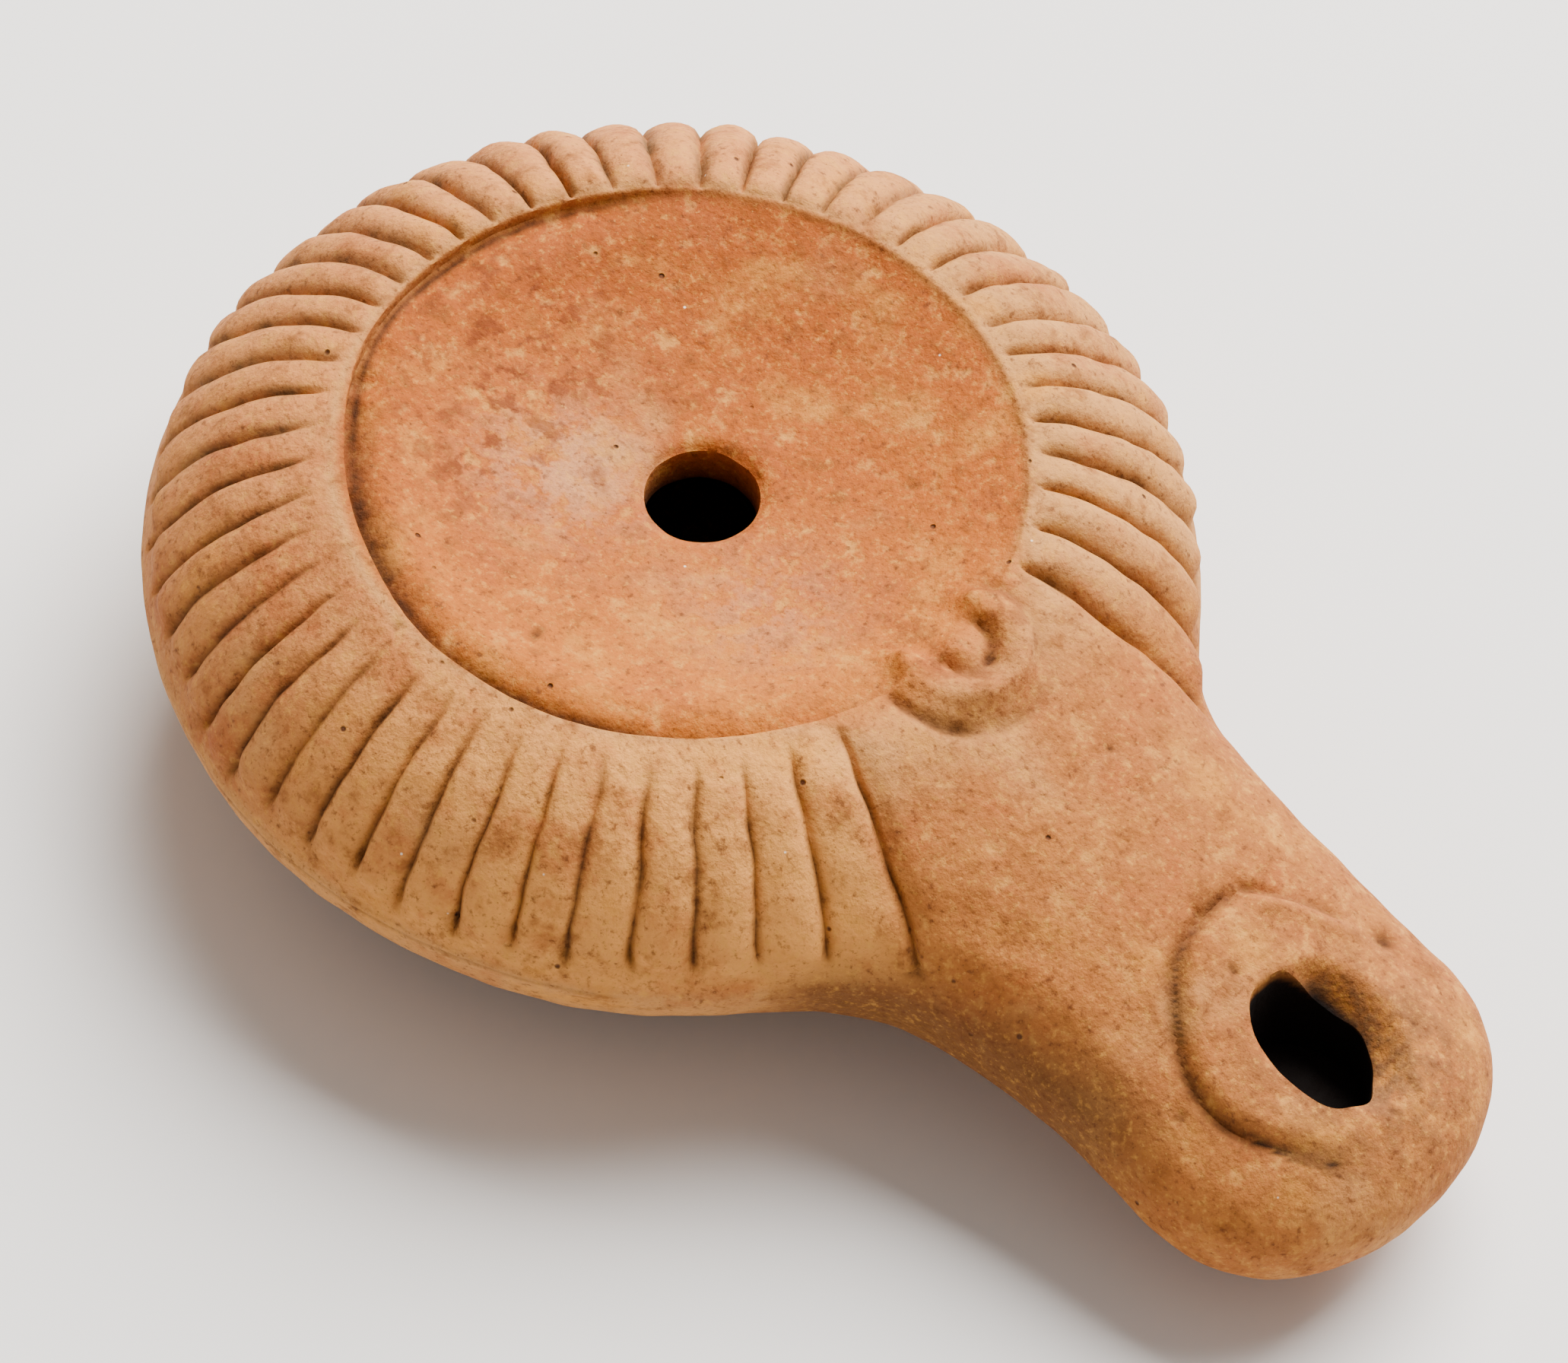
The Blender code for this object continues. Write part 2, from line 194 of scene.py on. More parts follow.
# Field of the nozzle: its section at each distance, which closes over the head's round end.
def nozzleField(points):
    distance = -points[..., 1]
    along = np.clip((distance - lamp["reach"] + lamp["headRound"]) / lamp["headRound"], 0, 1)
    half = nozzleHalf(distance) * np.sqrt(np.maximum(1 - along ** lamp["planFullness"], 1e-6))
    top, under = nozzleTop(distance), nozzleUnder(distance)
    tall = (top - under) / 2 * np.sqrt(np.maximum(1 - along ** lamp["sideFullness"], 1e-6))
    side, up = points[..., 0], points[..., 2] - (top + under) / 2
    power = lamp["squareness"]
    gauge = (np.abs(side / half) ** power + np.abs(up / tall) ** power) ** (1 / power)
    size = np.hypot(side, up) + 1e-6
    field = size * (1 - 1 / np.maximum(gauge, 1e-6))
    return field + np.maximum(distance - lamp["reach"], 0) + 60 * (distance < lamp["startAt"])


# The two fields run into each other through a fillet, tight on the shoulder and wider below it.
def lampField(points):
    body, nozzle = bodyField(points), nozzleField(points)
    fillet = lamp["filletTight"] + lamp["filletGain"] * smooth(23, 17, points[..., 2])
    near = np.maximum(fillet - np.abs(body - nozzle), 0) / fillet
    return np.minimum(body, nozzle) - near**2 * fillet / 4


# Points where rays from inside leave the clay, found by halving.
def leaveClay(start, heading):
    farthest, stride, halvings = 46.0, 1.5, 26
    inside = np.zeros(start.shape[:-1])
    outside = np.full(start.shape[:-1], farthest)
    # A coarse walk first, so that a ray stops at the first surface that it meets.
    found = np.zeros(start.shape[:-1], bool)
    for step in np.arange(stride, farthest, stride):
        out = lampField(start + heading * step) > 0
        outside = np.where(out & ~found, step, outside)
        found |= out
        inside = np.where(found, inside, step)
    for _ in range(halvings):
        middle = (inside + outside) / 2
        out = lampField(start + heading * middle[..., None]) > 0
        outside = np.where(out, middle, outside)
        inside = np.where(out, inside, middle)
    return start + heading * outside[..., None]


# Plan angles of the grooves between ribs, wider beside the nozzle, each a little off its place.
def ribEdges():
    count = lamp["ribCount"]
    place = np.arange(count)
    nearNozzle = hill(np.minimum(place, count - 1 - place), 0, 1.2)
    widths = 1 + lamp["sideSpread"] * np.sin(2 * math.pi * (place + 0.5) / count)
    widths = widths + lamp["nozzleRibGain"] * nearNozzle
    widths = widths + np.random.default_rng(lamp["seed"]).uniform(-0.06, 0.06, count)
    sector = math.radians(lamp["plainSector"])
    edges = np.concatenate([[0], np.cumsum(widths)])
    return sector / 2 + edges / edges[-1] * (2 * math.pi - sector)


ribAngles = ribEdges()


# How far down the shoulder a point lies: 0 at the discus edge, 1 at the mould seam.
def shoulderShare(points):
    radius = np.hypot(points[..., 0], points[..., 1])
    power = lamp["shoulderFullness"] / 2
    out = np.clip((radius - lamp["discusRadius"]) / (lamp["bodyRadius"] - lamp["discusRadius"]), 0, 1.2)
    up = np.clip((points[..., 2] - lamp["seamHeight"]) / lamp["shoulderRise"], 0, 1.2)
    return np.arctan2(out**power, up**power) / (math.pi / 2)


# Each relief below gives two things: how far the clay stands out, and how much dark colour lies in it, partly
# dirt and partly painted shade in cuts and hollows.
# Ribs are rounded pillows with narrow cuts between them, uneven and worn like pressed clay.
def ribRelief(points):
    radius, angle = polar(points)
    share = shoulderShare(points)
    count = lamp["ribCount"]
    source = np.random.default_rng(lamp["seed"] + 1)
    tall = source.uniform(0.84, 1.1, count)
    end = lamp["ribEnd"] + source.uniform(-0.04, 0.02, count)
    lean = source.uniform(-0.2, 0.2, count)
    cutDepth = source.uniform(0.55, 1.4, count + 1)
    cutWidth = source.uniform(0.8, 1.4, count + 1)
    cutEnd = lamp["ribEnd"] + source.uniform(-0.05, 0.04, count + 1)
    index = np.clip(np.searchsorted(ribAngles, angle) - 1, 0, count - 1)
    first, last = ribAngles[index], ribAngles[index + 1]
    across = np.clip((angle - first) / (last - first), 0, 1)
    inRibs = (angle > ribAngles[0]) & (angle < ribAngles[-1])
    border = np.minimum(np.abs(angle - ribAngles[0]), np.abs(angle - ribAngles[-1])) * radius
    offCut = np.where(inRibs, np.minimum(across, 1 - across) * (last - first) * radius, border)
    cut = np.where(inRibs, index + (across > 0.5), np.where(angle > math.pi, count, 0))
    near = facing(angle, lamp["flatRibSide"], 35, 60)
    far = facing(angle, lamp["farRibSide"], 45, 35)
    start = lamp["ribStart"] + 0.09 * near - 0.06 * far
    pillow = 1 - np.abs(2 * across - 1 + 4 * lean[index] * across * (1 - across)) ** (2.2 + 0.5 * near)
    roundEnd = end[index] - 0.055 * np.abs(2 * across - 1) ** 2
    fade = smooth(start, start + 0.14 + 0.2 * near - 0.03 * far, share)
    fade = fade * (1 - smooth(roundEnd - 0.07, roundEnd + 0.02, share))
    wear = 1 - 0.18 * np.maximum(lumps(points, 9, 21), 0) + 0.1 * lumps(points, 3.5, 22)
    cutFade = smooth(start - 0.03, start + 0.07 + 0.1 * near, share)
    cutFade = cutFade * (1 - smooth(cutEnd[cut] - 0.04, cutEnd[cut] + 0.02, share))
    uneven = 1 + 0.4 * lumps(points, 5, 31)
    groove = lamp["ribCut"] * (1 - 0.22 * near) * cutDepth[cut] * uneven
    groove = groove * hill(offCut, 0, lamp["ribCutWidth"] * cutWidth[cut])
    # On the near side each cut ends above the seam in a small blunt hollow.
    blunt = 0.34 * near * hill(share, cutEnd[cut] - 0.07, 0.045) * hill(offCut, 0, 0.42)
    # The nozzle's side of each border cut is a soft shoulder, not a rib.
    apron = 0.5 * smooth(0, 1.8, border) * smooth(0.06, 0.25, share) * smooth(0.95, 0.6, share)
    onShoulder = smooth(lamp["discusRadius"] - 0.1, lamp["discusRadius"] + 0.6, radius)
    rib = lamp["ribHeight"] * (1 - 0.48 * near) * tall[index] * wear * pillow * fade
    height = np.where(inRibs, rib, apron)
    # The cuts and the blunt hollows at their ends are darkened with dust and painted shade.
    dirtAndShadeWidth = (0.24 + 0.26 * far) * cutWidth[cut]
    dirtAndShade = hill(offCut, 0, dirtAndShadeWidth) * np.clip(0.8 + 0.35 * lumps(points, 4, 33), 0.2, 1) * cutFade
    dirtAndShade = np.maximum(0.88 * dirtAndShade, 2.2 * blunt)
    return (height - groove * cutFade - blunt) * onShoulder, np.clip(dirtAndShade, 0, 1) * onShoulder


# The dish rolls over its edge into a groove on one side, and runs into a faint pale ridge on the other.
def discusRelief(points):
    radius, angle = polar(points)
    onTop = smooth(20, 22, points[..., 2])
    side = facing(angle, lamp["grooveSide"], 75, 45)
    uneven = 1 + 0.16 * lumps(points, 6, 41) + 0.1 * lumps(points, 1.6, 44)
    middle = lamp["grooveRadius"] + 0.12 * lumps(points, 14, 42) - 0.8 * facing(angle, 234, 6, 34)
    # Outside the groove the clay stands at the collar's height.
    dish = lamp["discusSink"] * np.maximum(1 - (radius / lamp["discusRadius"]) ** 2, 0)
    collar = dish * smooth(middle - 0.1, middle + 0.25, radius) * side
    width = np.where(radius < middle, lamp["grooveInside"], lamp["grooveOutside"])
    worn = 1 - 0.45 * facing(angle, lamp["farRibSide"], 30, 30)
    groove = (0.05 + 0.95 * side) * worn * hill(radius, middle, width)
    roll = 0.35 * side * hill(radius, 20.8, 1.6)
    ridge = 0.2 * (1 - side) * hill(radius, 24.9, 0.9) * (1 - facing(angle, 0, 24, 16))
    # Shallow rings left by a wiping thumb.
    wave = np.sin(radius * 2 * math.pi / 1.7 + 0.8 * np.sin(angle) + 0.5 * lumps(points, 15, 43))
    rings = 0.025 * wave * smooth(6, 9, radius) * smooth(21, 18, radius) * facing(angle, 330, 60, 60)
    hole = np.hypot(points[..., 0] - lamp["holeX"], points[..., 1] - lamp["holeY"])
    lip = 0.4 * hill(hole, lamp["holeRadius"], 0.45)
    # Painted shade: the groove is darkened, and on the near side so is a wider band of the rolled flank
    # beside it.
    nearSide = facing(angle, 262, 32, 30)
    dirtAndShade = (0.06 + 0.94 * side) * hill(radius, middle - 0.1 - 0.35 * nearSide, 0.3 + 0.45 * nearSide)
    dirtAndShade = dirtAndShade * np.clip(uneven + 0.2, 0, 1)
    return (roll + ridge + rings + collar - lip - lamp["grooveDepth"] * uneven * groove) * onTop, dirtAndShade * onTop


# The ornament: a broad round horseshoe ridge round a small boss, with a cut inside and outside it.
def loopRelief(points):
    side, back = points[..., 0] - lamp["loopX"], points[..., 1] - lamp["loopY"]
    radius = np.hypot(side, back)
    turn = np.degrees(np.arctan2(side, -back))
    onTop = smooth(18, 20, points[..., 2])
    ridge = 1.1 * hill(radius, lamp["loopRadius"], 1.0) * smooth(-138, -118, turn) * smooth(140, 112, turn)
    innerRight = hill(radius, 2.3, 0.45) * smooth(130, 90, turn) * smooth(-10, 22, turn)
    innerLeft = hill(radius, 2.0, 0.34) * smooth(-108, -88, turn) * smooth(-40, -62, turn)
    innerFront = hill(radius, 2.4, 0.6) * smooth(-70, -50, turn) * smooth(40, 20, turn)
    outerLeft = hill(radius, 6.6, 0.5) * smooth(-104, -88, turn) * smooth(-34, -52, turn)
    outerFront = hill(radius, 6.4, 0.6) * smooth(-60, -40, turn) * smooth(40, 10, turn)
    outerRight = hill(radius, 5.6, 0.6) * smooth(24, 48, turn) * smooth(128, 108, turn)
    boss = 0.7 * hill(np.hypot(side + 0.3, (back + 0.1) * 0.85), 0, 1.15)
    cuts = 0.62 * innerRight + 0.36 * innerLeft + 0.32 * innerFront
    cuts = cuts + 0.6 * outerLeft + 0.3 * outerFront + 0.3 * outerRight
    scratch = 0.14 * stroke(points, (8.3, -25.3), (9.0, -23.4), 0.3)
    # Dirt and painted shade darken the cuts and the scratch.
    dirtAndShade = 0.9 * innerRight + 0.5 * innerLeft + 0.4 * innerFront
    dirtAndShade = dirtAndShade + 0.9 * outerLeft + 0.4 * outerFront + 0.4 * outerRight
    return (ridge + boss - cuts - scratch) * onTop, np.clip(dirtAndShade + 2 * scratch, 0, 1) * onTop


# How far out a point lies from the wick hole's middle, and how gently its mouth slopes in there.
def wickPlace(points):
    side = (points[..., 0] - lamp["wickX"]) / lamp["wickHalfWidth"]
    front = (-points[..., 1] - lamp["wickHoleAt"]) / lamp["wickHalfLength"]
    ratio = np.hypot(side, front)
    return ratio, smooth(-0.35, 1.05, (side + 0.6 * front) / np.maximum(ratio, 0.2))


# The rim round the wick hole steps up sharply behind and on its left, and runs into the head elsewhere.
def wickRelief(points):
    side, back = points[..., 0] - lamp["rimX"], points[..., 1] + lamp["rimAt"]
    radius = np.hypot(side, back)
    turn = np.degrees(np.arctan2(side, back))
    top = smooth(11.5, 14.5, points[..., 2])
    sharp = smooth(-128, -100, turn) * smooth(30, 8, turn)
    soft = 0.35 + 0.65 * smooth(-150, -110, turn) * smooth(70, 30, turn)
    edge = lamp["rimRadius"] + 0.22 * np.sin(np.radians(turn * 3 + 20))
    rim = lamp["rimRise"] * soft * (1 - smooth(edge - 1.5, edge + 0.1, radius))
    step = sharp * hill(radius, edge + 0.1, 0.4)
    # The mouth is steep on the left and behind, and slopes gently on the right and in front.
    ratio, gentle = wickPlace(points)
    funnel = (0.5 + 2.0 * gentle) * smooth(1.1 + 0.6 * gentle, 0.92, ratio) ** 1.25
    # Above the rim a crease runs down to the right, with a soft lip beside it.
    crease = 0.4 * stroke(points, (4.6, -48.4), (8.7, -53.6), 0.45)
    crease = crease - 0.25 * stroke(points, (4.2, -49.6), (8.0, -54.6), 0.6)
    # A painted shadow line lies in the step, and painted shade lies in the crease.
    inStep = 0.85 * sharp * hill(radius, edge + 0.1, 0.6)
    dirtAndShade = np.clip(inStep + 1.4 * np.maximum(crease, 0), 0, 1)
    return (rim - 0.42 * step - funnel - crease) * top, dirtAndShade * top


# The seam: two fine ridges where the mould's halves met, with a dark line of dirt and painted shade between
# them.
def seamRelief(points):
    radius, angle = polar(points)
    level = points[..., 2] - lamp["seamHeight"]
    onSide = smooth(34, 36, radius) * smooth(-24, -20, points[..., 1])
    wander = 0.18 * np.sin(5 * angle)
    lines = 0.1 * hill(level, wander, 0.2) + 0.08 * hill(level, wander - 0.75, 0.22)
    return lines * onSide, 0.5 * hill(level, wander - 0.38, 0.2) * onSide * facing(angle, 290, 40, 30)


# The soft edge that runs down the near side of the nozzle's top.
def nozzleRelief(points):
    distance = -points[..., 1]
    onNozzle = smooth(33, 38, distance) * smooth(12, 15, points[..., 2]) * smooth(57, 52, distance)
    edge = np.interp(distance, [33, 45, 55], [-15.5, -10.6, -11.8])
    return 0.3 * hill(points[..., 0], edge, 1.3) * onNozzle, 0 * distance


# Each pit is a bell-shaped dent, darkened by dirt and painted shade.
def pitRelief(points):
    depth = np.zeros(points.shape[:-1])
    dirtAndShade = np.zeros(points.shape[:-1])
    for x, y, size, deep in pits:
        pit = hill(np.hypot(points[..., 0] - x, points[..., 1] - y), 0, size) * smooth(11, 13, points[..., 2])
        depth += deep * pit
        dirtAndShade = np.maximum(dirtAndShade, pit)
    return -depth, dirtAndShade


# The broad, soft swelling of clay pressed by hand, which fades out at the flat base.
def clayRelief(points):
    broad = 0.11 * lumps(points, 26, 3) + 0.06 * lumps(points, 9, 4) + 0.04 * lumps(points, 3.4, 5)
    return broad * smooth(0, 2.5, points[..., 2]), 0 * broad


# All the heights added up, and the strongest dirt and painted shade of all.
def relief(points):
    parts = ribRelief, discusRelief, loopRelief, wickRelief, seamRelief, nozzleRelief, pitRelief, clayRelief
    made = [part(points) for part in parts]
    return sum(height for height, _ in made), np.max([dirtAndShade for _, dirtAndShade in made], axis=0)


# How far the ribs waver from side to side, and the same move carried out round the body's axis.
def waver(points):
    share = shoulderShare(points)
    sway = lamp["ribWaver"] * lumps(points, 8, 13) + 0.07 * lumps(points, 2.2, 14)
    return sway * smooth(0.05, 0.3, share) * smooth(1.0, 0.8, share)


def turnAside(points, amount):
    radius = np.maximum(np.hypot(points[..., 0], points[..., 1]), 1)
    tangent = np.stack([-points[..., 1], points[..., 0], 0 * radius], -1) / radius[..., None]
    return points + tangent * amount[..., None]


# Columns: eleven to a rib, closer together at the grooves, then even ones over the plain sector.
def columnAngles():
    spread = np.array([0, 0.045, 0.105, 0.2, 0.33, 0.45, 0.57, 0.69, 0.81, 0.9, 0.955])
    ribs = (ribAngles[:-1, None] + np.diff(ribAngles)[:, None] * spread).ravel()
    sectorCount = 60
    sector = np.linspace(ribAngles[-1], 2 * math.pi + ribAngles[0], sectorCount + 1)[:-1]
    return np.concatenate([ribs, sector]), len(ribs), sectorCount


columns, ribColumns, sectorColumns = columnAngles()


# The rows of the body's grid, from the filling hole out over the shoulder and round to the base.
def rowList():
    # Each row is (radius of the ray's start, ray's tilt in degrees); 90 points up, -90 down.
    plate = lamp["plateRadius"]
    shoulder = [(radius, 90) for radius in np.linspace(lamp["edgeRadius"], plate, 12)]
    fan = [(plate, tilt) for tilt in np.linspace(90, 6, 31)[1:]]
    seam = [(plate, tilt) for tilt in np.linspace(6, -7, 9)[1:]]
    below = [(plate, tilt) for tilt in np.linspace(-7, -90, 12)[1:]]
    bottom = [(radius, -90) for radius in (26, 23, 20.5, 18.9, 18.3, 18.0, 17.7, 17.3, 16.4, 13, 8, 4)]
    lip = [(radius, 90) for radius in (0.0, 0.012, 0.03, 0.055)]
    dish = [(radius, 90) for radius in np.linspace(0.1, 0.89, 15)]
    edge = [(radius, 90) for radius in np.linspace(0.9, 1.0, 15)[:-1]]
    return lip + dish + edge, shoulder + fan + seam + below, bottom


discusRows, sideRows, bottomRows = rowList()


# A ray for each point of the body's grid: a row gives its tilt, a column its plan angle.
def bodyRays():
    angle = columns[None, :]
    outward = np.stack([np.sin(angle), -np.cos(angle), 0 * angle], -1)
    # The discus rows spread from the filling hole's circle to the edge of the discus.
    share = np.array([row[0] for row in discusRows])[:, None, None]
    holeCircle = np.array([lamp["holeX"], lamp["holeY"], 0]) + outward * (lamp["holeRadius"] + 0.02)
    discusStart = holeCircle * (1 - share) + outward * lamp["edgeRadius"] * share
    radius = np.array([row[0] for row in sideRows + bottomRows])[:, None, None]
    outerStart = outward * radius
    start = np.concatenate([discusStart, outerStart])
    start[..., 2] = lamp["seamHeight"]
    tilt = np.radians([row[1] for row in discusRows + sideRows + bottomRows])[:, None]
    # Beside the nozzle the low rays turn towards the corner that it makes with the body.
    offFirst = (angle - columns[0] + math.pi) % (2 * math.pi) - math.pi
    offLast = (angle - columns[ribColumns] + math.pi) % (2 * math.pi) - math.pi
    width = math.radians(12)
    corner = hill(offFirst, 0, width) * (offFirst > -0.001) - hill(offLast, 0, width) * (offLast < 0.001)
    turn = math.radians(lamp["cornerTurn"]) * corner * smooth(math.radians(14), 0, tilt)
    turn = turn * smooth(-90, -60, np.degrees(tilt))
    plan = angle + turn
    heading = np.stack(
        [np.cos(tilt) * np.sin(plan), -np.cos(tilt) * np.cos(plan), np.sin(tilt) + 0 * plan], -1
    )
    return start, heading


# The nozzle's rings start on the edge of an opening in the body's grid, and end at the tip.
def nozzleRays(start, heading, firstRow, lastRow):
    left, right = ribColumns, 0
    across = np.concatenate([np.arange(left, left + sectorColumns), [right]])
    sideRange = np.arange(firstRow + 1, lastRow)
    rowRuns = [np.full(len(across), firstRow), sideRange, np.full(len(across), lastRow), sideRange[::-1]]
    colRuns = [across, np.full(len(sideRange), right), across[::-1], np.full(len(sideRange), left)]
    rows = np.concatenate(rowRuns)
    cols = np.concatenate(colRuns)
    rimStart, rimHeading = start[rows, cols], heading[rows, cols]
    # The same ring as a section of the nozzle: a plate, with rays up, round its sides and down.
    level = np.linspace(-1, 1, len(across))
    sideTilt = np.linspace(math.pi / 2, -math.pi / 2, len(sideRange) + 2)[1:-1]
    ones = np.ones(len(sideRange))
    plate = np.concatenate([level, ones, level[::-1], -ones])
    straightUp = np.full(len(level), math.pi / 2)
    tilt = np.concatenate([straightUp, sideTilt, -straightUp, sideTilt[::-1]])
    section = np.stack([np.cos(tilt) * np.sign(plate), 0 * tilt, np.sin(tilt)], -1)
    headStart = lamp["reach"] - lamp["headRound"]
    progress = np.linspace(0, 1, lamp["nozzleRings"])[1:, None]
    back = rimStart[:, 1] * (1 - progress) - headStart * progress
    middle = (nozzleTop(-back) + nozzleUnder(-back)) / 2
    blend = smooth(0, 0.55, progress)
    side = rimStart[:, 0] * (1 - blend) + plate * (nozzleHalf(-back) - lamp["plateInset"]) * blend
    height = lamp["seamHeight"] * (1 - blend) + middle * blend
    ringStart = np.stack([side, back, height], -1)
    ringHeading = rimHeading * (1 - blend[..., None]) + section * blend[..., None]
    # Round the tip the rays turn forward, and the plate closes to a point.
    forward = np.radians(np.linspace(0, 90, 27)[1:-1])[:, None]
    tipSide = side[-1] * np.cos(forward)
    tipStart = np.stack([tipSide, 0 * tipSide - headStart, 0 * tipSide + height[-1]], -1)
    tipHeading = section * np.cos(forward)[..., None] + np.array([0, -1, 0]) * np.sin(forward)[..., None]
    pole = np.array([0, -headStart, height[-1, 0]]), np.array([0, -1.0, 0])
    allStart = np.concatenate([ringStart, tipStart])
    allHeading = np.concatenate([ringHeading, tipHeading])
    allHeading /= np.linalg.norm(allHeading, axis=-1, keepdims=True)
    return (rows, cols), allStart, allHeading, pole


# The bore of the filling hole and the hollow inside, row by row from the lip to the middle of the floor.
def innerRows(lip):
    outward = np.stack([np.sin(columns), -np.cos(columns), 0 * columns], -1)
    centre = np.array([lamp["holeX"], lamp["holeY"], 0])
    depth = np.array([0.5, 1.4, 2.6, 3.5])[:, None, None]
    bore = np.repeat(lip[None], 4, 0) - depth * np.array([0, 0, 1.0])
    bore += outward * (0.06 * lumps(bore, 3.0, 9) - 0.1)[..., None]
    # The hollow from under the discus to its floor: share of its full radius, height.
    profile = np.array([
        (0.06, 20.3), (0.3, 21.0), (0.62, 24.1), (0.8, 23.0), (0.91, 20.3), (1.0, 16.1),
        (0.93, 10.4), (0.78, 6.2), (0.48, 3.4), (0.2, 3.4),
    ])
    share, level = profile[:, 0][:, None, None], profile[:, 1][:, None]
    ring = centre + outward * lamp["holeRadius"]
    wide = outward * (lamp["bodyRadius"] - lamp["wall"])
    hollow = ring * (1 - share) + wide * share
    floor = share * wide
    hollow = np.where(np.arange(len(profile))[:, None, None] > 4, floor, hollow)
    hollow[..., 2] = level
    return np.concatenate([bore, hollow])


# Four-sided faces between two closed rows of points.
def quads(rowA, rowB):
    return np.stack([rowA, rowB, np.roll(rowB, -1, -1), np.roll(rowA, -1, -1)], -1).reshape(-1, 4)


# One closed grid: the body's rows, the nozzle's rings and the hollow's rows, joined end to end, then
# moved out along its normals by the reliefs.
def makeSkin():
    start, heading = bodyRays()
    firstRow = len(discusRows)
    lastRow = firstRow + len(sideRows) - 1
    (rimRows, rimCols), ringStart, ringHeading, tip = nozzleRays(start, heading, firstRow, lastRow)
    outer = leaveClay(start, heading)
    rings = leaveClay(ringStart, ringHeading)
    tipPoint = leaveClay(tip[0], tip[1])
    inner = innerRows(outer[0])
    rowCount, columnCount = outer.shape[:2]
    bodyIndex = np.arange(rowCount * columnCount).reshape(rowCount, columnCount)
    base = rowCount * columnCount
    ringIndex = base + np.arange(rings.shape[0] * rings.shape[1]).reshape(rings.shape[:2])
    innerStart = base + ringIndex.size
    innerIndex = innerStart + np.arange(inner.shape[0] * columnCount).reshape(inner.shape[0], columnCount)
    tipIndex, baseIndex, floorIndex = innerStart + innerIndex.size + np.arange(3)
    points = np.concatenate([
        outer.reshape(-1, 3), rings.reshape(-1, 3), inner.reshape(-1, 3),
        [tipPoint, (0, 0, 0), (0, 0, lamp["wall"])],
    ])
    bodyQuads = quads(bodyIndex[:-1], bodyIndex[1:]).reshape(rowCount - 1, columnCount, 4)
    keep = np.ones(bodyQuads.shape[:2], bool)
    keep[firstRow:lastRow, ribColumns:] = False
    rimLoop = bodyIndex[rimRows, rimCols]
    ringRows = np.concatenate([rimLoop[None], ringIndex])
    innerLoops = np.concatenate([bodyIndex[:1], innerIndex])
    faces = [bodyQuads[keep], quads(ringRows[:-1], ringRows[1:]), quads(innerLoops[1:], innerLoops[:-1])]
    lastRing, lastBody, lastInner = ringIndex[-1], bodyIndex[-1], innerIndex[-1]
    fans = [
        np.stack([lastRing, np.full(lastRing.size, tipIndex), np.roll(lastRing, -1)], -1),
        np.stack([lastBody, np.full(lastBody.size, baseIndex), np.roll(lastBody, -1)], -1),
        np.stack([np.roll(lastInner, -1), np.full(lastInner.size, floorIndex), lastInner], -1),
    ]
    mesh = bpy.data.meshes.new("oil_lamp_skin")
    mesh.from_pydata(points.tolist(), [], np.concatenate(faces).tolist() + np.concatenate(fans).tolist())
    mesh.update()
    outerCount = base + ringIndex.size
    normals = np.empty(len(points) * 3, np.float32)
    mesh.vertex_normals.foreach_get("vector", normals)
    normals = normals.reshape(-1, 3).astype(float)
    height = relief(points)[0]
    # The hollow keeps its plain form.
    height[outerCount:tipIndex] = 0
    height[floorIndex] = 0
    height *= smooth(-0.01, 0.4, points[:, 2])
    moved = turnAside(points + normals * height[:, None], np.where(height == 0, 0, waver(points)))
    moved[:, 2] = np.maximum(moved[:, 2], 0)
    low, high = np.array(cadBox[0]) * 1000, np.array(cadBox[1]) * 1000
    # The highest ribs are worn down a little, so that they stay under the lamp's true height.
    wearStart = high[2] - lamp["wearBand"]
    over = np.maximum(moved[:, 2] - wearStart, 0)
    moved[:, 2] += lamp["wearSoftness"] * np.tanh(over / lamp["wearSoftness"]) - over
    print("stage: skin", moved.min(0).round(2), moved.max(0).round(2), "cad", low.round(2), high.round(2))
    mesh.vertices.foreach_set("co", (moved / 1000).astype(np.float32).ravel())
    mesh.polygons.foreach_set("use_smooth", np.ones(len(mesh.polygons), bool))
    mesh.update()
    return mesh


# A closed tube through rings of equal count, with flat ends.
def tubeMesh(name, rings):
    count, size = rings.shape[:2]
    index = np.arange(count * size).reshape(count, size)
    faces = quads(index[:-1], index[1:]).tolist() + [index[0].tolist(), index[-1][::-1].tolist()]
    mesh = bpy.data.meshes.new(name)
    mesh.from_pydata((rings.reshape(-1, 3) / 1000).tolist(), [], faces)
    mesh.update()
    return mesh


# The channel: the nozzle's own section drawn in by the wall, in rings that crowd towards the tip.
def channelRings():
    near, far = 17.8, lamp["reach"] - lamp["tipWall"]
    distance = near + (far - near) * np.sin(np.linspace(0, math.pi / 2, 14))
    turn = np.linspace(0, 2 * math.pi, 36, endpoint=False)
    along = np.clip((distance - lamp["reach"] + lamp["headRound"]) / lamp["headRound"], 0, 1)
    half = nozzleHalf(distance) * np.sqrt(1 - along ** lamp["planFullness"]) - lamp["headWall"]
    top = nozzleTop(distance) - lamp["headWall"]
    under = nozzleUnder(distance) + lamp["headWall"]
    power = 2 / lamp["squareness"]
    side = np.sign(np.cos(turn)) * np.abs(np.cos(turn)) ** power * half[:, None]
    up = np.sign(np.sin(turn)) * np.abs(np.sin(turn)) ** power * ((top - under) / 2)[:, None]
    return np.stack([side, 0 * side - distance[:, None], up + ((top + under) / 2)[:, None]], -1)


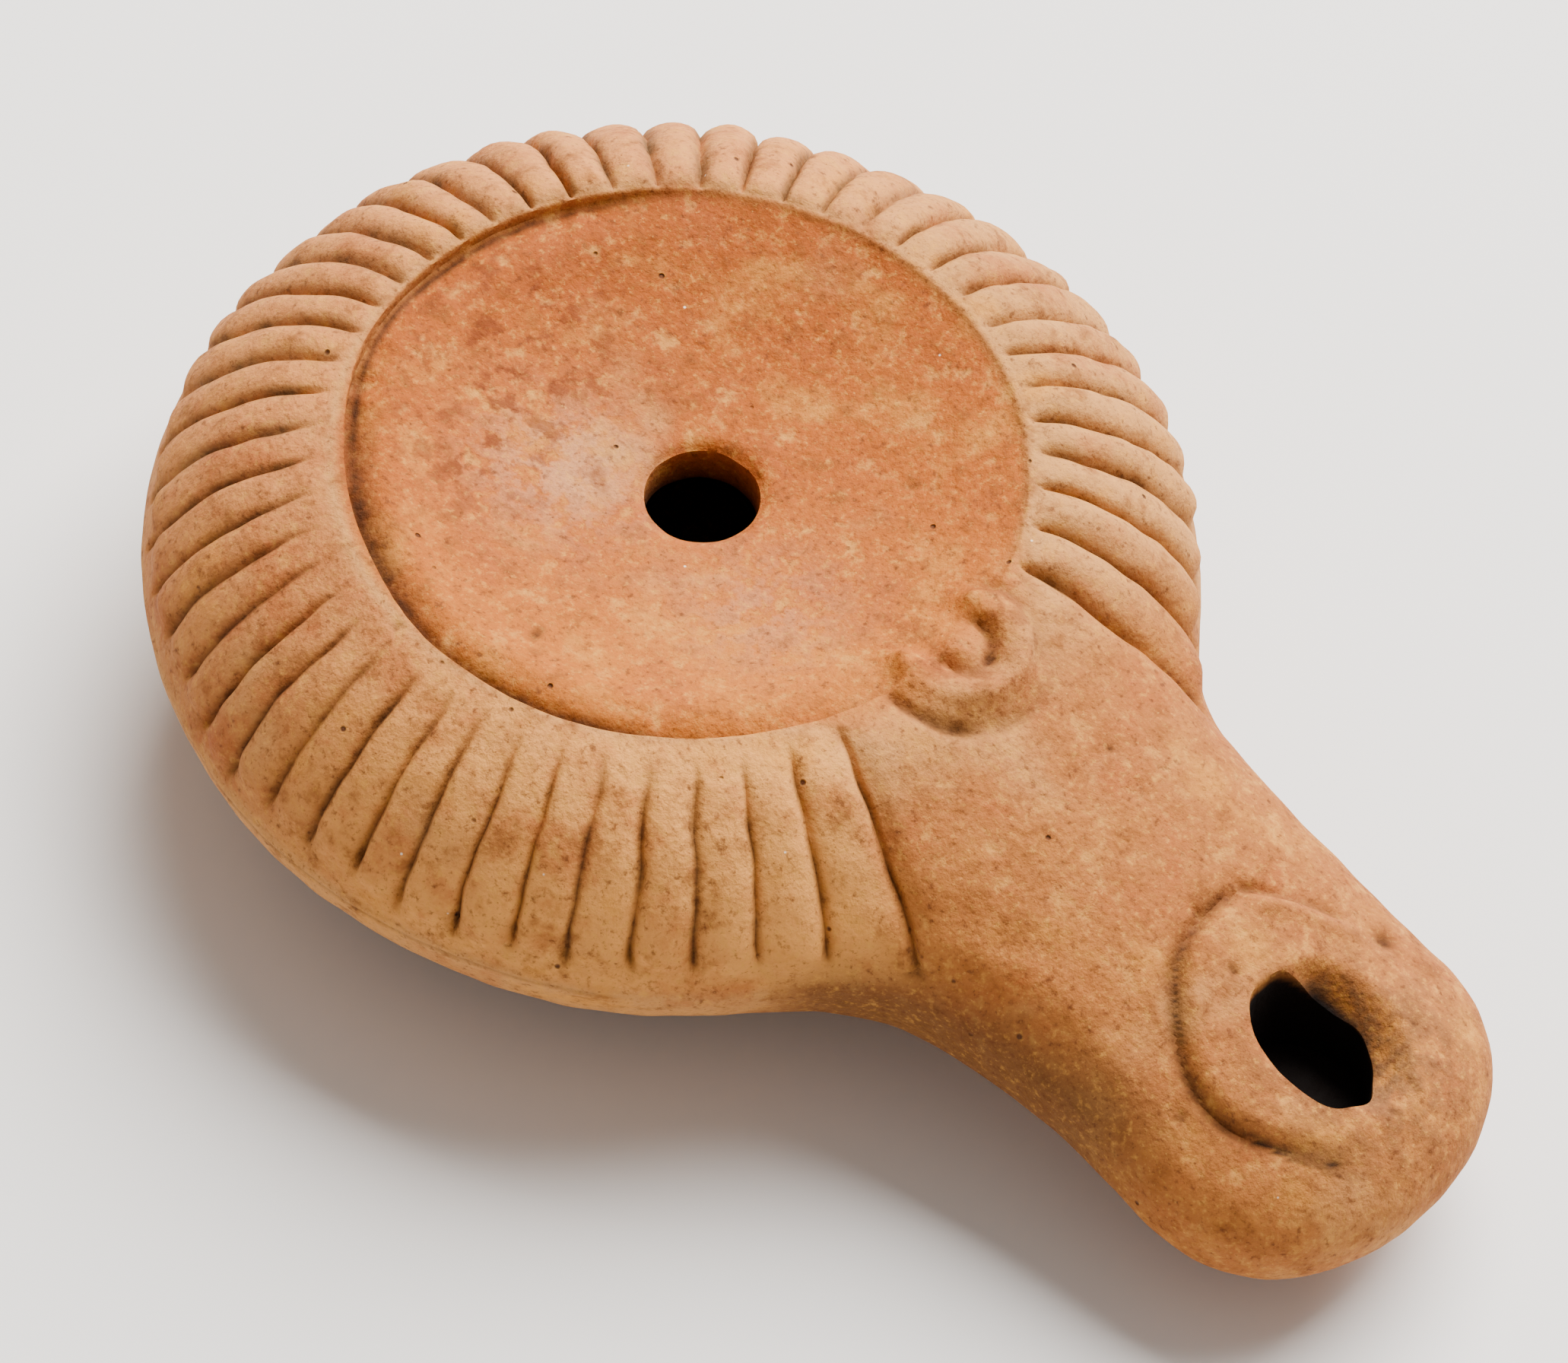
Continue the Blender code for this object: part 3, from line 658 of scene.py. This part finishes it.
# The wick hole is an uneven oval, a little wider towards its mouth.
def wickRings():
    turn = np.linspace(0, 2 * math.pi, 96, endpoint=False)
    level = np.array([-7.5, -4.4, -3.4, -2.6, -2.0, -1.4, -0.9, -0.4, 0, 0.4, 0.8, 3.0])[:, None]
    grow = 0.04 * smooth(-2.5, 0.8, level)
    uneven = 0.02 * np.sin(3 * turn + 1.1) + 0.014 * np.sin(5 * turn + 0.4) + 0.01 * np.sin(9 * turn)
    # It bulges at the front left.
    bulge = 0.2 * hill(turn, math.radians(122), 0.75)
    share = 0.97 + uneven + bulge + grow
    forward = -lamp["wickHoleAt"] - share * lamp["wickHalfLength"] * np.sin(turn)
    fall = math.tan(math.radians(lamp["wickSlope"]))
    height = nozzleTop(np.array(lamp["wickHoleAt"])) + level + (forward + lamp["wickHoleAt"]) * fall
    return np.stack([lamp["wickX"] + share * lamp["wickHalfWidth"] * np.cos(turn), forward, height], -1)


# Takes one closed shape away from the lamp.
def carve(piece, mesh, name):
    cutter = bpy.data.objects.new(name, mesh)
    bpy.context.scene.collection.objects.link(cutter)
    step = piece.modifiers.new(name, "BOOLEAN")
    step.operation = "DIFFERENCE"
    step.solver = "EXACT"
    step.object = cutter
    return cutter


# Keeps the carved mesh and removes the shapes that carved it.
def applySteps(piece, helpers):
    bpy.context.view_layer.update()
    graph = bpy.context.evaluated_depsgraph_get()
    made = bpy.data.meshes.new_from_object(piece.evaluated_get(graph))
    piece.modifiers.clear()
    old = piece.data
    piece.data = made
    bpy.data.meshes.remove(old)
    for helper in helpers:
        bpy.data.objects.remove(helper, do_unlink=True)


skin = bpy.data.objects.new("terracotta_lamp", makeSkin())
bpy.context.scene.collection.objects.link(skin)
cutters = [
    carve(skin, tubeMesh("channel_shape", channelRings()), "channel_cut"),
    carve(skin, tubeMesh("wick_shape", wickRings()), "wick_cut"),
]
applySteps(skin, cutters)
skin.data.set_sharp_from_angle(angle=math.radians(lamp["sharpEdge"]))
print("stage: lamp made,", sum(len(face.vertices) - 2 for face in skin.data.polygons), "triangles")
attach(skin, "root")
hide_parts("oil_lamp")


# Where the clay is dirty, sooty, of another tone, or painted with shade and light, kept on the mesh as one
# number a point for each.
def clayMarks(points):
    radius, angle = polar(points)
    x, y, z = points[..., 0], points[..., 1], points[..., 2]
    still = turnAside(points, -waver(points))
    depth = -lampField(points)
    share = shoulderShare(still)
    onTop = smooth(18, 21, z)
    sector = facing(angle, 0, 14, 16)
    onDiscus = smooth(24.6 + 4.5 * sector, 23.4 - 2 * sector, radius) * onTop
    onRibs = smooth(0.02, 0.1, share) * smooth(0.99, 0.9, share) * (1 - facing(angle, 0, 20, 8))
    nozzle = smooth(24, 33, -y) * smooth(24, 20, np.abs(x))
    mouth = np.clip(hill(np.hypot(x - 2, y + 62), 0, 7.5) + smooth(0.2, 1.6, depth), 0, 1)
    rust = hill(np.hypot(x - 1.4, (y - 16) * 0.8), 0, 8) + 0.8 * hill(np.hypot(x + 9, y - 11.5), 0, 6)
    pale = hill(np.hypot(x + 4.5, y - 7), 0, 6) + 0.6 * hill(np.hypot(x + 4, y + 11.5), 0, 6)
    # Painted shade on the nozzle's near flank, where less light falls.
    nozzleFlankShade = nozzle * smooth(-8, -12, x) * smooth(20, 15, z) * smooth(60, 50, -y)
    # Soot and painted shade begin just under the wick hole's steep edge and lower down on its gentle side.
    ratio, gentle = wickPlace(points)
    wickSootAndShade = smooth(-0.4 + 2.2 * gentle, 0.5 + 2.6 * gentle, depth)
    # Inside the bore and the hollow, soot and painted shade darken the clay.
    boreSootAndShade = np.maximum(smooth(1.8, 4.0, depth), 0.55 * smooth(0.7, 2.2, depth))
    sootAndShade = np.where(ratio < 2.2, wickSootAndShade, boreSootAndShade)
    return {
        # Dirt and painted shade in the cuts, grooves, steps and pits.
        "creviceDirtAndShade": relief(still)[1] * smooth(4.2, 3.2, depth),
        "sootAndShade": sootAndShade,
        "discus": onDiscus,
        "nozzle": nozzle,
        "leftRibs": onRibs * facing(angle, lamp["flatRibSide"], 40, 50),
        "farRibs": onRibs * facing(angle, lamp["farRibSide"], 45, 35),
        # Painted shade on the dish's far half and painted light on its near half, for the light's slope
        # across the dish.
        "discusFarShade": onDiscus * smooth(-2, 24, (x + y) * 0.7),
        "discusNearLight": onDiscus * smooth(-2, 24, -(x + y) * 0.7),
        "rust": np.clip(rust, 0, 1) * onDiscus + 0.6 * hill(np.hypot(x - 1.5, y + 24.4), 4.0, 2.4) * onTop,
        "pale": np.clip(pale, 0, 1) * onDiscus,
        "nearRibs": onRibs * facing(angle, 310, 20, 40),
        # Painted shade: darker low down, where less light falls, and on the nozzle's near flank.
        "low": np.maximum(smooth(10, 5, z) * (1 - 0.9 * smooth(46, 56, -y)), nozzleFlankShade),
        "mouth": mouth * smooth(9, 13, z) * nozzle,
    }


# Stores each mark as a float attribute of the points, and gives the marks' names.
def setMarks(mesh):
    places = np.empty(len(mesh.vertices) * 3, np.float32)
    mesh.vertices.foreach_get("co", places)
    marks = clayMarks(places.reshape(-1, 3).astype(float) * 1000)
    for name, values in marks.items():
        mark = mesh.attributes.new(name, "FLOAT", "POINT")
        mark.data.foreach_set("value", values.astype(np.float32))
    return list(marks)


markNames = setMarks(skin.data)
print("stage: clay marks set")


# sRGB hex to the linear colour that Blender stores.
def colour(code):
    parts = [int(code[i:i + 2], 16) / 255 for i in (1, 3, 5)]
    return [part / 12.92 if part <= 0.04045 else ((part + 0.055) / 1.055) ** 2.4 for part in parts] + [1.0]


# Adds one node: settings by name, sockets as in_Name or in_number, links as (source, socket) pairs.
def addNode(tree, kind, links=(), **settings):
    node = tree.nodes.new(kind)
    for name, value in settings.items():
        if name.startswith("in_"):
            key = name[3:]
            node.inputs[int(key) if key.isdigit() else key.replace("_", " ")].default_value = value
        else:
            setattr(node, name, value)
    for source, target in links:
        tree.links.new(source, node.inputs[target])
    return node


# Fired earthenware, pressed in a mould and left unglazed: matte, iron-orange, with coarse temper that
# gives speckle and pits, iron stains, pale bloom, brown dirt and painted shade in the cuts, soot and painted
# shade inside, and painted shade and light in some zones.
clayLook = {
    "body": "#c2874a", "roughness": (0.74, 0.93), "ior": 1.5, "specular": 0.22,
    # Noises: grain of the feature in millimetres, detail, seed.
    "noises": {
        "cloud": (14, 3, 1.3), "blotch": (5.5, 5, 4.1), "mottle": (1.7, 6, 7.7), "stain": (2.1, 8, 2.2),
        "grain": (0.5, 5, 9.4), "fleck": (0.6, 6, 5.9), "temper": (0.26, 4, 3.3),
    },
    "noiseRoughness": 0.62,
    # Layers, one over another: colour, noise, the noise values at which its mask starts and is full,
    # strength, and the mark that limits it.
    "layers": [
        ("#a8530f", "cloud", 0.25, 0.40, 0.95, "discus"),
        # Painted shade darkens the dish's far half, and painted light brightens its near half.
        ("#96470c", "cloud", 0.15, 0.30, 0.80, "discusFarShade"),
        ("#ba6a1e", "cloud", 0.15, 0.30, 0.80, "discusNearLight"),
        ("#a25c22", "cloud", 0.25, 0.45, 0.85, "nozzle"),
        ("#b26a33", "cloud", 0.25, 0.45, 0.75, "leftRibs"),
        ("#cc8244", "cloud", 0.25, 0.45, 0.80, "farRibs"),
        ("#e0994c", "cloud", 0.25, 0.45, 0.90, "nearRibs"),
        ("#a04f1f", "blotch", 0.48, 0.70, 0.60, None),
        ("#c98534", "blotch", 0.48, 0.28, 0.70, None),
        ("#9c4720", "stain", 0.50, 0.70, 0.40, "leftRibs"),
        ("#cf9268", "mottle", 0.40, 0.58, 0.75, "pale"),
        ("#82491e", "mottle", 0.50, 0.70, 0.65, None),
        ("#cf9040", "mottle", 0.46, 0.30, 0.65, None),
        # Painted shade low down and on the nozzle's near flank.
        ("#63401f", "cloud", 0.15, 0.30, 0.75, "low"),
        ("#755032", "mottle", 0.36, 0.58, 0.80, "mouth"),
        ("#d79842", "fleck", 0.52, 0.74, 0.60, None),
        ("#602f12", "fleck", 0.46, 0.29, 0.75, None),
        ("#54290e", "temper", 0.44, 0.26, 0.65, None),
        ("#dea14e", "temper", 0.56, 0.78, 0.55, None),
        ("#70300e", "stain", 0.50, 0.60, 0.80, "rust"),
    ],
    # The dark brown of dirt and painted shade in the cuts; the soot colour is soot and painted shade inside.
    "dirtAndShade": "#4a2810", "dust": "#6e5a3c", "sootAndShade": "#100603", "sparkle": "#f3dfc4", "pit": "#5a3118",
    # Scattered spots: spacing and radius in millimetres, and the share of the cells that hold none.
    "spots": {"pit": (3.4, 0.26, 0.55), "sparkle": (4.2, 0.14, 0.6)},
    # Bumps, from broad to fine: depth in metres, strength.
    "bumps": {"mottle": (0.00035, 0.9), "grain": (0.00016, 0.9), "pit": (-0.00022, 1.0)},
}


# Layers of colour, some of them painted shade and light, then spots, dirt with painted shade, and soot with
# painted shade, all on one matte shader with a bump.
def makeClay():
    clay = bpy.data.materials.new("unglazed_fired_earthenware")
    clay.use_nodes = True
    tree = clay.node_tree
    shader = tree.nodes["Principled BSDF"]
    shader.inputs["IOR"].default_value = clayLook["ior"]
    shader.inputs["Specular IOR Level"].default_value = clayLook["specular"]
    place = addNode(tree, "ShaderNodeTexCoord").outputs["Object"]
    inMm = addNode(tree, "ShaderNodeMapping", [(place, "Vector")], in_Scale=(1000, 1000, 1000)).outputs[0]
    marks = {}
    for name in markNames:
        marks[name] = addNode(tree, "ShaderNodeAttribute", attribute_name=name).outputs["Fac"]
    noises = {}
    for name, (size, detail, seed) in clayLook["noises"].items():
        noises[name] = addNode(
            tree, "ShaderNodeTexNoise", [(inMm, "Vector")], noise_dimensions="4D",
            in_W=seed, in_Scale=1 / size, in_Detail=detail, in_Roughness=clayLook["noiseRoughness"],
        ).outputs["Fac"]
    # Each layer lies on those before it, as strong as its noise, strength and mark allow.
    body = addNode(tree, "ShaderNodeRGB")
    body.outputs[0].default_value = colour(clayLook["body"])
    paint = body.outputs[0]
    for code, noise, low, high, strength, mark in clayLook["layers"]:
        mask = addNode(
            tree, "ShaderNodeMapRange", [(noises[noise], "Value")], interpolation_type="SMOOTHSTEP",
            in_From_Min=low, in_From_Max=high, in_To_Max=strength,
        ).outputs["Result"]
        if mark:
            links = [(mask, 0), (marks[mark], 1)]
            mask = addNode(tree, "ShaderNodeMath", links, operation="MULTIPLY").outputs[0]
        links = [(mask, 0), (paint, 6)]
        paint = addNode(tree, "ShaderNodeMix", links, data_type="RGBA", in_7=colour(code)).outputs[2]
    # Pits and bright mineral specks sit in some of the cells of two scattered patterns.
    spots = {}
    for name, (spacing, size, rare) in clayLook["spots"].items():
        cells = addNode(tree, "ShaderNodeTexVoronoi", [(inMm, "Vector")], in_Scale=1 / spacing)
        spot = addNode(
            tree, "ShaderNodeMapRange", [(cells.outputs["Distance"], "Value")],
            interpolation_type="SMOOTHSTEP", in_From_Min=size / spacing, in_From_Max=0.4 * size / spacing,
        ).outputs[0]
        parts = addNode(tree, "ShaderNodeSeparateColor", [(cells.outputs["Color"], "Color")]).outputs
        chosen = addNode(tree, "ShaderNodeMath", [(parts[0], 0)], operation="GREATER_THAN", in_1=rare)
        links = [(spot, 0), (chosen.outputs[0], 1)]
        spots[name] = addNode(tree, "ShaderNodeMath", links, operation="MULTIPLY").outputs[0]
    # Dirt and painted shade lie unevenly in the cuts; the dirt is dusty grey on the far ribs.
    grimeAndShade = addNode(
        tree, "ShaderNodeMapRange", [(noises["mottle"], "Value")],
        in_From_Min=0.3, in_From_Max=0.6, in_To_Min=0.55, in_To_Max=1.0,
    ).outputs["Result"]
    links = [(grimeAndShade, 0), (marks["creviceDirtAndShade"], 1)]
    grimeAndShade = addNode(tree, "ShaderNodeMath", links, operation="MULTIPLY").outputs[0]
    links = [(marks["farRibs"], 0), (noises["stain"], 1)]
    dusty = addNode(tree, "ShaderNodeMath", links, operation="MULTIPLY").outputs[0]
    dirtAndShade = addNode(
        tree, "ShaderNodeMix", [(dusty, 0)], data_type="RGBA",
        in_6=colour(clayLook["dirtAndShade"]), in_7=colour(clayLook["dust"]),
    ).outputs[2]
    paint = addNode(tree, "ShaderNodeMix", [(grimeAndShade, 0), (paint, 6), (dirtAndShade, 7)], data_type="RGBA").outputs[2]
    # Then pits, bright specks, and soot with painted shade inside.
    for mask, name in ((spots["pit"], "pit"), (spots["sparkle"], "sparkle"), (marks["sootAndShade"], "sootAndShade")):
        links = [(mask, 0), (paint, 6)]
        spotColour = colour(clayLook[name])
        paint = addNode(tree, "ShaderNodeMix", links, data_type="RGBA", in_7=spotColour).outputs[2]
    tree.links.new(paint, shader.inputs["Base Color"])
    low, high = clayLook["roughness"]
    rough = addNode(
        tree, "ShaderNodeMapRange", [(noises["mottle"], "Value")],
        in_From_Min=0.3, in_From_Max=0.7, in_To_Min=low, in_To_Max=high,
    ).outputs["Result"]
    tree.links.new(rough, shader.inputs["Roughness"])
    bump = None
    for name, (distance, strength) in clayLook["bumps"].items():
        links = [(noises[name] if name in noises else spots[name], "Height")]
        if bump:
            links.append((bump, "Normal"))
        step = addNode(tree, "ShaderNodeBump", links, in_Distance=distance, in_Strength=strength)
        bump = step.outputs["Normal"]
    tree.links.new(bump, shader.inputs["Normal"])
    return clay


skin.data.materials.clear()
skin.data.materials.append(makeClay())


# The set, in metres: white paper, a lens fitted to the photograph, a soft sky and one broad soft light.
studio = {
    "floorSize": 6, "paper": "#f4f2f0", "paperRoughness": 0.9,
    "lens": 225.3, "sensorWidth": 36, "clip": (0.05, 20),
    "lensPlace": (-0.331103, -0.262230, 0.562084),
    # The lens's right, its up, and the way from the lamp back to it.
    "lensTurn": ((0.66836, -0.74111, 0.06370), (0.56783, 0.56366, 0.59988), (-0.48048, -0.36477, 0.79755)),
    "skyTint": (1, 0.93, 0.87, 1), "skyStrength": 0.42,
    "keyPlace": (0.62, 0.10, 0.79), "keyTarget": (0, -0.01, 0), "keySize": 0.95,
    "keyPower": 42, "keyTint": (1, 0.98, 0.95),
}


# Plain matt paper: white, with no gloss and no grain at this distance.
def makeFloor():
    bpy.ops.mesh.primitive_plane_add(size=studio["floorSize"], location=(0, 0, 0))
    floor = bpy.context.object
    floor.name = "floor"
    paper = bpy.data.materials.new("white_paper")
    paper.use_nodes = True
    shader = paper.node_tree.nodes["Principled BSDF"]
    shader.inputs["Base Color"].default_value = colour(studio["paper"])
    shader.inputs["Roughness"].default_value = studio["paperRoughness"]
    floor.data.materials.append(paper)


# The lens stands where the photograph's did, and looks down at about 53 degrees.
def makeCamera():
    data = bpy.data.cameras.new("camera")
    data.sensor_width = studio["sensorWidth"]
    data.sensor_fit = "HORIZONTAL"
    data.lens = studio["lens"]
    data.clip_start, data.clip_end = studio["clip"]
    camera = bpy.data.objects.new("camera", data)
    bpy.context.scene.collection.objects.link(camera)
    turn = Matrix(studio["lensTurn"]).transposed().to_4x4()
    camera.matrix_world = Matrix.Translation(studio["lensPlace"]) @ turn
    bpy.context.scene.camera = camera


# One broad square light, high on the far right, so that soft shadows fall to the near left.
def makeKeyLight():
    data = bpy.data.lights.new("soft_key", "AREA")
    data.shape = "RECTANGLE"
    data.size = studio["keySize"]
    data.size_y = studio["keySize"]
    data.energy = studio["keyPower"]
    data.color = studio["keyTint"]
    light = bpy.data.objects.new("soft_key", data)
    light.location = studio["keyPlace"]
    aim = Vector(studio["keyTarget"]) - Vector(studio["keyPlace"])
    light.rotation_euler = aim.to_track_quat("-Z", "Y").to_euler()
    bpy.context.scene.collection.objects.link(light)


def makeWorld():
    world = bpy.data.worlds.new("studio")
    world.use_nodes = True
    sky = world.node_tree.nodes["Background"]
    sky.inputs["Color"].default_value = studio["skyTint"]
    sky.inputs["Strength"].default_value = studio["skyStrength"]
    bpy.context.scene.world = world


makeFloor()
makeCamera()
makeWorld()
makeKeyLight()
print("stage: set ready")
